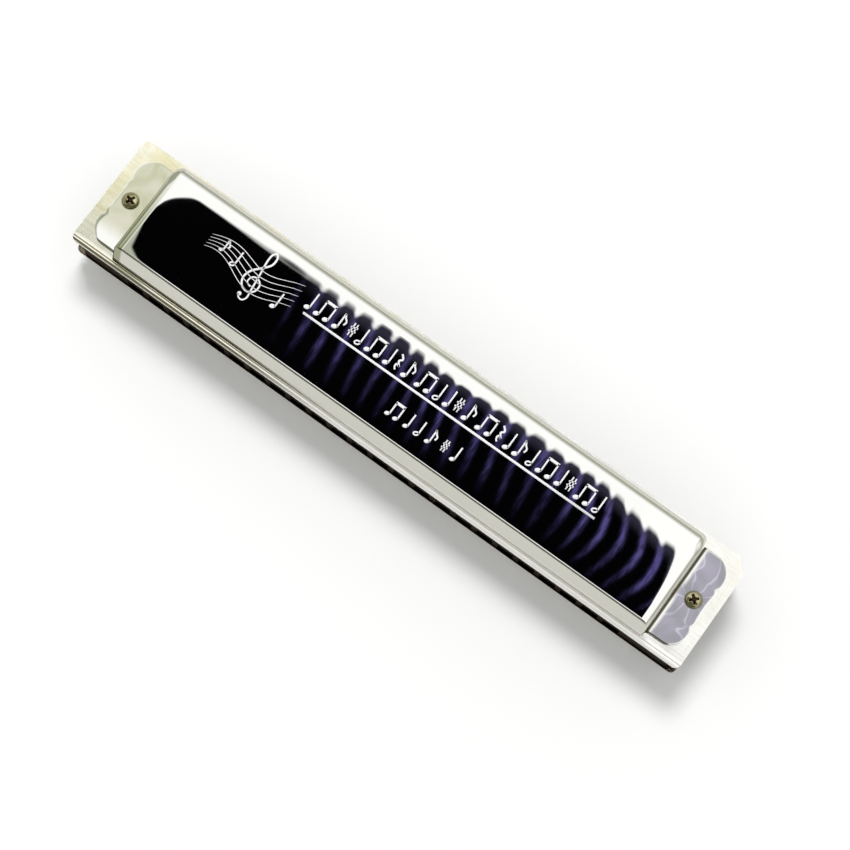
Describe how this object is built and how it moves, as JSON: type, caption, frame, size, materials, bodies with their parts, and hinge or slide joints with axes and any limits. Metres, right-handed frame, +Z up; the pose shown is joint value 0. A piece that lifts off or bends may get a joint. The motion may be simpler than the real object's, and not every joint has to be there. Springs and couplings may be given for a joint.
{
  "type": "tremolo harmonica",
  "caption": "Long double-row mouth organ: a dark moulded comb between two nickel reed plates with free reeds, closed by two polished metal covers with screwed end tabs.",
  "frame": {"origin": "under the middle of the instrument, on the surface that it lies on", "axes": "+X along the instrument from the bass end to the treble end, the mouth holes face -Y, +Z up out of the upper cover"},
  "size_m": [0.18, 0.031, 0.024],
  "materials": {
    "cover_chrome": "polished mirror",
    "plate_nickel": "nickel plated, satin with fine scratches",
    "comb_plastic": "moulded, semi-gloss",
    "reed_brass": "milled",
    "rivet_brass": "peened",
    "etched_marking": "matt etched ornament on the upper cover",
    "screw_steel": "yellow passivated"
  },
  "bodies": {
    "case": {"comb": "comb_plastic", "upper_reed_plate": "plate_nickel", "lower_reed_plate": "plate_nickel", "upper_cover": "cover_chrome", "lower_cover": "cover_chrome", "upper_cover_screws": "screw_steel", "lower_cover_screws": "screw_steel", "reed_plate_screws": "screw_steel", "reed_pads": "reed_brass", "reed_rivets": "rivet_brass"},
    "upper_reed_01": {"upper_reed_01": "reed_brass"},
    "upper_reed_02": {"upper_reed_02": "reed_brass"},
    "upper_reed_03": {"upper_reed_03": "reed_brass"},
    "upper_reed_04": {"upper_reed_04": "reed_brass"},
    "upper_reed_05": {"upper_reed_05": "reed_brass"},
    "upper_reed_06": {"upper_reed_06": "reed_brass"},
    "upper_reed_07": {"upper_reed_07": "reed_brass"},
    "upper_reed_08": {"upper_reed_08": "reed_brass"},
    "upper_reed_09": {"upper_reed_09": "reed_brass"},
    "upper_reed_10": {"upper_reed_10": "reed_brass"},
    "upper_reed_11": {"upper_reed_11": "reed_brass"},
    "upper_reed_12": {"upper_reed_12": "reed_brass"},
    "upper_reed_13": {"upper_reed_13": "reed_brass"},
    "upper_reed_14": {"upper_reed_14": "reed_brass"},
    "upper_reed_15": {"upper_reed_15": "reed_brass"},
    "upper_reed_16": {"upper_reed_16": "reed_brass"},
    "upper_reed_17": {"upper_reed_17": "reed_brass"},
    "upper_reed_18": {"upper_reed_18": "reed_brass"},
    "upper_reed_19": {"upper_reed_19": "reed_brass"},
    "upper_reed_20": {"upper_reed_20": "reed_brass"},
    "upper_reed_21": {"upper_reed_21": "reed_brass"},
    "upper_reed_22": {"upper_reed_22": "reed_brass"},
    "upper_reed_23": {"upper_reed_23": "reed_brass"},
    "upper_reed_24": {"upper_reed_24": "reed_brass"},
    "lower_reed_01": {"lower_reed_01": "reed_brass"},
    "lower_reed_02": {"lower_reed_02": "reed_brass"},
    "lower_reed_03": {"lower_reed_03": "reed_brass"},
    "lower_reed_04": {"lower_reed_04": "reed_brass"},
    "lower_reed_05": {"lower_reed_05": "reed_brass"},
    "lower_reed_06": {"lower_reed_06": "reed_brass"},
    "lower_reed_07": {"lower_reed_07": "reed_brass"},
    "lower_reed_08": {"lower_reed_08": "reed_brass"},
    "lower_reed_09": {"lower_reed_09": "reed_brass"},
    "lower_reed_10": {"lower_reed_10": "reed_brass"},
    "lower_reed_11": {"lower_reed_11": "reed_brass"},
    "lower_reed_12": {"lower_reed_12": "reed_brass"},
    "lower_reed_13": {"lower_reed_13": "reed_brass"},
    "lower_reed_14": {"lower_reed_14": "reed_brass"},
    "lower_reed_15": {"lower_reed_15": "reed_brass"},
    "lower_reed_16": {"lower_reed_16": "reed_brass"},
    "lower_reed_17": {"lower_reed_17": "reed_brass"},
    "lower_reed_18": {"lower_reed_18": "reed_brass"},
    "lower_reed_19": {"lower_reed_19": "reed_brass"},
    "lower_reed_20": {"lower_reed_20": "reed_brass"},
    "lower_reed_21": {"lower_reed_21": "reed_brass"},
    "lower_reed_22": {"lower_reed_22": "reed_brass"},
    "lower_reed_23": {"lower_reed_23": "reed_brass"},
    "lower_reed_24": {"lower_reed_24": "reed_brass"}
  },
  "joints": [
    {"name": "upper_reed_01_bend", "type": "hinge", "parent": "case", "child": "upper_reed_01", "pos_m": [-0.0713, -0.011, 0.01637], "axis": [1, 0, 0], "range_deg": [-4, 4], "stiffness_Nm_per_rad": 0.002},
    {"name": "upper_reed_02_bend", "type": "hinge", "parent": "case", "child": "upper_reed_02", "pos_m": [-0.0651, 0.00774, 0.01773], "axis": [-1, 0, 0], "range_deg": [-4, 4], "stiffness_Nm_per_rad": 0.002},
    {"name": "upper_reed_03_bend", "type": "hinge", "parent": "case", "child": "upper_reed_03", "pos_m": [-0.0589, -0.011, 0.01637], "axis": [1, 0, 0], "range_deg": [-4, 4], "stiffness_Nm_per_rad": 0.002},
    {"name": "upper_reed_04_bend", "type": "hinge", "parent": "case", "child": "upper_reed_04", "pos_m": [-0.0527, 0.00666, 0.01773], "axis": [-1, 0, 0], "range_deg": [-4, 4], "stiffness_Nm_per_rad": 0.002},
    {"name": "upper_reed_05_bend", "type": "hinge", "parent": "case", "child": "upper_reed_05", "pos_m": [-0.0465, -0.011, 0.01637], "axis": [1, 0, 0], "range_deg": [-4, 4], "stiffness_Nm_per_rad": 0.002},
    {"name": "upper_reed_06_bend", "type": "hinge", "parent": "case", "child": "upper_reed_06", "pos_m": [-0.0403, 0.00564, 0.01773], "axis": [-1, 0, 0], "range_deg": [-4, 4], "stiffness_Nm_per_rad": 0.002},
    {"name": "upper_reed_07_bend", "type": "hinge", "parent": "case", "child": "upper_reed_07", "pos_m": [-0.0341, -0.011, 0.01637], "axis": [1, 0, 0], "range_deg": [-4, 4], "stiffness_Nm_per_rad": 0.002},
    {"name": "upper_reed_08_bend", "type": "hinge", "parent": "case", "child": "upper_reed_08", "pos_m": [-0.0279, 0.00469, 0.01773], "axis": [-1, 0, 0], "range_deg": [-4, 4], "stiffness_Nm_per_rad": 0.002},
    {"name": "upper_reed_09_bend", "type": "hinge", "parent": "case", "child": "upper_reed_09", "pos_m": [-0.0217, -0.011, 0.01637], "axis": [1, 0, 0], "range_deg": [-4, 4], "stiffness_Nm_per_rad": 0.002},
    {"name": "upper_reed_10_bend", "type": "hinge", "parent": "case", "child": "upper_reed_10", "pos_m": [-0.0155, 0.00379, 0.01773], "axis": [-1, 0, 0], "range_deg": [-4, 4], "stiffness_Nm_per_rad": 0.002},
    {"name": "upper_reed_11_bend", "type": "hinge", "parent": "case", "child": "upper_reed_11", "pos_m": [-0.0093, -0.011, 0.01637], "axis": [1, 0, 0], "range_deg": [-4, 4], "stiffness_Nm_per_rad": 0.002},
    {"name": "upper_reed_12_bend", "type": "hinge", "parent": "case", "child": "upper_reed_12", "pos_m": [-0.0031, 0.00294, 0.01773], "axis": [-1, 0, 0], "range_deg": [-4, 4], "stiffness_Nm_per_rad": 0.002},
    {"name": "upper_reed_13_bend", "type": "hinge", "parent": "case", "child": "upper_reed_13", "pos_m": [0.0031, -0.011, 0.01637], "axis": [1, 0, 0], "range_deg": [-4, 4], "stiffness_Nm_per_rad": 0.002},
    {"name": "upper_reed_14_bend", "type": "hinge", "parent": "case", "child": "upper_reed_14", "pos_m": [0.0093, 0.00214, 0.01773], "axis": [-1, 0, 0], "range_deg": [-4, 4], "stiffness_Nm_per_rad": 0.002},
    {"name": "upper_reed_15_bend", "type": "hinge", "parent": "case", "child": "upper_reed_15", "pos_m": [0.0155, -0.011, 0.01637], "axis": [1, 0, 0], "range_deg": [-4, 4], "stiffness_Nm_per_rad": 0.002},
    {"name": "upper_reed_16_bend", "type": "hinge", "parent": "case", "child": "upper_reed_16", "pos_m": [0.0217, 0.00139, 0.01773], "axis": [-1, 0, 0], "range_deg": [-4, 4], "stiffness_Nm_per_rad": 0.002},
    {"name": "upper_reed_17_bend", "type": "hinge", "parent": "case", "child": "upper_reed_17", "pos_m": [0.0279, -0.011, 0.01637], "axis": [1, 0, 0], "range_deg": [-4, 4], "stiffness_Nm_per_rad": 0.002},
    {"name": "upper_reed_18_bend", "type": "hinge", "parent": "case", "child": "upper_reed_18", "pos_m": [0.0341, 0.00068, 0.01773], "axis": [-1, 0, 0], "range_deg": [-4, 4], "stiffness_Nm_per_rad": 0.002},
    {"name": "upper_reed_19_bend", "type": "hinge", "parent": "case", "child": "upper_reed_19", "pos_m": [0.0403, -0.011, 0.01637], "axis": [1, 0, 0], "range_deg": [-4, 4], "stiffness_Nm_per_rad": 0.002},
    {"name": "upper_reed_20_bend", "type": "hinge", "parent": "case", "child": "upper_reed_20", "pos_m": [0.0465, 0.00002, 0.01773], "axis": [-1, 0, 0], "range_deg": [-4, 4], "stiffness_Nm_per_rad": 0.002},
    {"name": "upper_reed_21_bend", "type": "hinge", "parent": "case", "child": "upper_reed_21", "pos_m": [0.0527, -0.011, 0.01637], "axis": [1, 0, 0], "range_deg": [-4, 4], "stiffness_Nm_per_rad": 0.002},
    {"name": "upper_reed_22_bend", "type": "hinge", "parent": "case", "child": "upper_reed_22", "pos_m": [0.0589, -0.00061, 0.01773], "axis": [-1, 0, 0], "range_deg": [-4, 4], "stiffness_Nm_per_rad": 0.002},
    {"name": "upper_reed_23_bend", "type": "hinge", "parent": "case", "child": "upper_reed_23", "pos_m": [0.0651, -0.011, 0.01637], "axis": [1, 0, 0], "range_deg": [-4, 4], "stiffness_Nm_per_rad": 0.002},
    {"name": "upper_reed_24_bend", "type": "hinge", "parent": "case", "child": "upper_reed_24", "pos_m": [0.0713, -0.0012, 0.01773], "axis": [-1, 0, 0], "range_deg": [-4, 4], "stiffness_Nm_per_rad": 0.002},
    {"name": "lower_reed_01_bend", "type": "hinge", "parent": "case", "child": "lower_reed_01", "pos_m": [-0.0713, -0.011, 0.00763], "axis": [-1, 0, 0], "range_deg": [-4, 4], "stiffness_Nm_per_rad": 0.002},
    {"name": "lower_reed_02_bend", "type": "hinge", "parent": "case", "child": "lower_reed_02", "pos_m": [-0.0651, 0.00774, 0.00627], "axis": [1, 0, 0], "range_deg": [-4, 4], "stiffness_Nm_per_rad": 0.002},
    {"name": "lower_reed_03_bend", "type": "hinge", "parent": "case", "child": "lower_reed_03", "pos_m": [-0.0589, -0.011, 0.00763], "axis": [-1, 0, 0], "range_deg": [-4, 4], "stiffness_Nm_per_rad": 0.002},
    {"name": "lower_reed_04_bend", "type": "hinge", "parent": "case", "child": "lower_reed_04", "pos_m": [-0.0527, 0.00666, 0.00627], "axis": [1, 0, 0], "range_deg": [-4, 4], "stiffness_Nm_per_rad": 0.002},
    {"name": "lower_reed_05_bend", "type": "hinge", "parent": "case", "child": "lower_reed_05", "pos_m": [-0.0465, -0.011, 0.00763], "axis": [-1, 0, 0], "range_deg": [-4, 4], "stiffness_Nm_per_rad": 0.002},
    {"name": "lower_reed_06_bend", "type": "hinge", "parent": "case", "child": "lower_reed_06", "pos_m": [-0.0403, 0.00564, 0.00627], "axis": [1, 0, 0], "range_deg": [-4, 4], "stiffness_Nm_per_rad": 0.002},
    {"name": "lower_reed_07_bend", "type": "hinge", "parent": "case", "child": "lower_reed_07", "pos_m": [-0.0341, -0.011, 0.00763], "axis": [-1, 0, 0], "range_deg": [-4, 4], "stiffness_Nm_per_rad": 0.002},
    {"name": "lower_reed_08_bend", "type": "hinge", "parent": "case", "child": "lower_reed_08", "pos_m": [-0.0279, 0.00469, 0.00627], "axis": [1, 0, 0], "range_deg": [-4, 4], "stiffness_Nm_per_rad": 0.002},
    {"name": "lower_reed_09_bend", "type": "hinge", "parent": "case", "child": "lower_reed_09", "pos_m": [-0.0217, -0.011, 0.00763], "axis": [-1, 0, 0], "range_deg": [-4, 4], "stiffness_Nm_per_rad": 0.002},
    {"name": "lower_reed_10_bend", "type": "hinge", "parent": "case", "child": "lower_reed_10", "pos_m": [-0.0155, 0.00379, 0.00627], "axis": [1, 0, 0], "range_deg": [-4, 4], "stiffness_Nm_per_rad": 0.002},
    {"name": "lower_reed_11_bend", "type": "hinge", "parent": "case", "child": "lower_reed_11", "pos_m": [-0.0093, -0.011, 0.00763], "axis": [-1, 0, 0], "range_deg": [-4, 4], "stiffness_Nm_per_rad": 0.002},
    {"name": "lower_reed_12_bend", "type": "hinge", "parent": "case", "child": "lower_reed_12", "pos_m": [-0.0031, 0.00294, 0.00627], "axis": [1, 0, 0], "range_deg": [-4, 4], "stiffness_Nm_per_rad": 0.002},
    {"name": "lower_reed_13_bend", "type": "hinge", "parent": "case", "child": "lower_reed_13", "pos_m": [0.0031, -0.011, 0.00763], "axis": [-1, 0, 0], "range_deg": [-4, 4], "stiffness_Nm_per_rad": 0.002},
    {"name": "lower_reed_14_bend", "type": "hinge", "parent": "case", "child": "lower_reed_14", "pos_m": [0.0093, 0.00214, 0.00627], "axis": [1, 0, 0], "range_deg": [-4, 4], "stiffness_Nm_per_rad": 0.002},
    {"name": "lower_reed_15_bend", "type": "hinge", "parent": "case", "child": "lower_reed_15", "pos_m": [0.0155, -0.011, 0.00763], "axis": [-1, 0, 0], "range_deg": [-4, 4], "stiffness_Nm_per_rad": 0.002},
    {"name": "lower_reed_16_bend", "type": "hinge", "parent": "case", "child": "lower_reed_16", "pos_m": [0.0217, 0.00139, 0.00627], "axis": [1, 0, 0], "range_deg": [-4, 4], "stiffness_Nm_per_rad": 0.002},
    {"name": "lower_reed_17_bend", "type": "hinge", "parent": "case", "child": "lower_reed_17", "pos_m": [0.0279, -0.011, 0.00763], "axis": [-1, 0, 0], "range_deg": [-4, 4], "stiffness_Nm_per_rad": 0.002},
    {"name": "lower_reed_18_bend", "type": "hinge", "parent": "case", "child": "lower_reed_18", "pos_m": [0.0341, 0.00068, 0.00627], "axis": [1, 0, 0], "range_deg": [-4, 4], "stiffness_Nm_per_rad": 0.002},
    {"name": "lower_reed_19_bend", "type": "hinge", "parent": "case", "child": "lower_reed_19", "pos_m": [0.0403, -0.011, 0.00763], "axis": [-1, 0, 0], "range_deg": [-4, 4], "stiffness_Nm_per_rad": 0.002},
    {"name": "lower_reed_20_bend", "type": "hinge", "parent": "case", "child": "lower_reed_20", "pos_m": [0.0465, 0.00002, 0.00627], "axis": [1, 0, 0], "range_deg": [-4, 4], "stiffness_Nm_per_rad": 0.002},
    {"name": "lower_reed_21_bend", "type": "hinge", "parent": "case", "child": "lower_reed_21", "pos_m": [0.0527, -0.011, 0.00763], "axis": [-1, 0, 0], "range_deg": [-4, 4], "stiffness_Nm_per_rad": 0.002},
    {"name": "lower_reed_22_bend", "type": "hinge", "parent": "case", "child": "lower_reed_22", "pos_m": [0.0589, -0.00061, 0.00627], "axis": [1, 0, 0], "range_deg": [-4, 4], "stiffness_Nm_per_rad": 0.002},
    {"name": "lower_reed_23_bend", "type": "hinge", "parent": "case", "child": "lower_reed_23", "pos_m": [0.0651, -0.011, 0.00763], "axis": [-1, 0, 0], "range_deg": [-4, 4], "stiffness_Nm_per_rad": 0.002},
    {"name": "lower_reed_24_bend", "type": "hinge", "parent": "case", "child": "lower_reed_24", "pos_m": [0.0713, -0.0012, 0.00627], "axis": [1, 0, 0], "range_deg": [-4, 4], "stiffness_Nm_per_rad": 0.002}
  ],
  "couplings": [
    {"joint": "lower_reed_01_bend", "follows": "upper_reed_01_bend", "ratio": 1},
    {"joint": "lower_reed_02_bend", "follows": "upper_reed_02_bend", "ratio": 1},
    {"joint": "lower_reed_03_bend", "follows": "upper_reed_03_bend", "ratio": 1},
    {"joint": "lower_reed_04_bend", "follows": "upper_reed_04_bend", "ratio": 1},
    {"joint": "lower_reed_05_bend", "follows": "upper_reed_05_bend", "ratio": 1},
    {"joint": "lower_reed_06_bend", "follows": "upper_reed_06_bend", "ratio": 1},
    {"joint": "lower_reed_07_bend", "follows": "upper_reed_07_bend", "ratio": 1},
    {"joint": "lower_reed_08_bend", "follows": "upper_reed_08_bend", "ratio": 1},
    {"joint": "lower_reed_09_bend", "follows": "upper_reed_09_bend", "ratio": 1},
    {"joint": "lower_reed_10_bend", "follows": "upper_reed_10_bend", "ratio": 1},
    {"joint": "lower_reed_11_bend", "follows": "upper_reed_11_bend", "ratio": 1},
    {"joint": "lower_reed_12_bend", "follows": "upper_reed_12_bend", "ratio": 1},
    {"joint": "lower_reed_13_bend", "follows": "upper_reed_13_bend", "ratio": 1},
    {"joint": "lower_reed_14_bend", "follows": "upper_reed_14_bend", "ratio": 1},
    {"joint": "lower_reed_15_bend", "follows": "upper_reed_15_bend", "ratio": 1},
    {"joint": "lower_reed_16_bend", "follows": "upper_reed_16_bend", "ratio": 1},
    {"joint": "lower_reed_17_bend", "follows": "upper_reed_17_bend", "ratio": 1},
    {"joint": "lower_reed_18_bend", "follows": "upper_reed_18_bend", "ratio": 1},
    {"joint": "lower_reed_19_bend", "follows": "upper_reed_19_bend", "ratio": 1},
    {"joint": "lower_reed_20_bend", "follows": "upper_reed_20_bend", "ratio": 1},
    {"joint": "lower_reed_21_bend", "follows": "upper_reed_21_bend", "ratio": 1},
    {"joint": "lower_reed_22_bend", "follows": "upper_reed_22_bend", "ratio": 1},
    {"joint": "lower_reed_23_bend", "follows": "upper_reed_23_bend", "ratio": 1},
    {"joint": "lower_reed_24_bend", "follows": "upper_reed_24_bend", "ratio": 1}
  ]
}
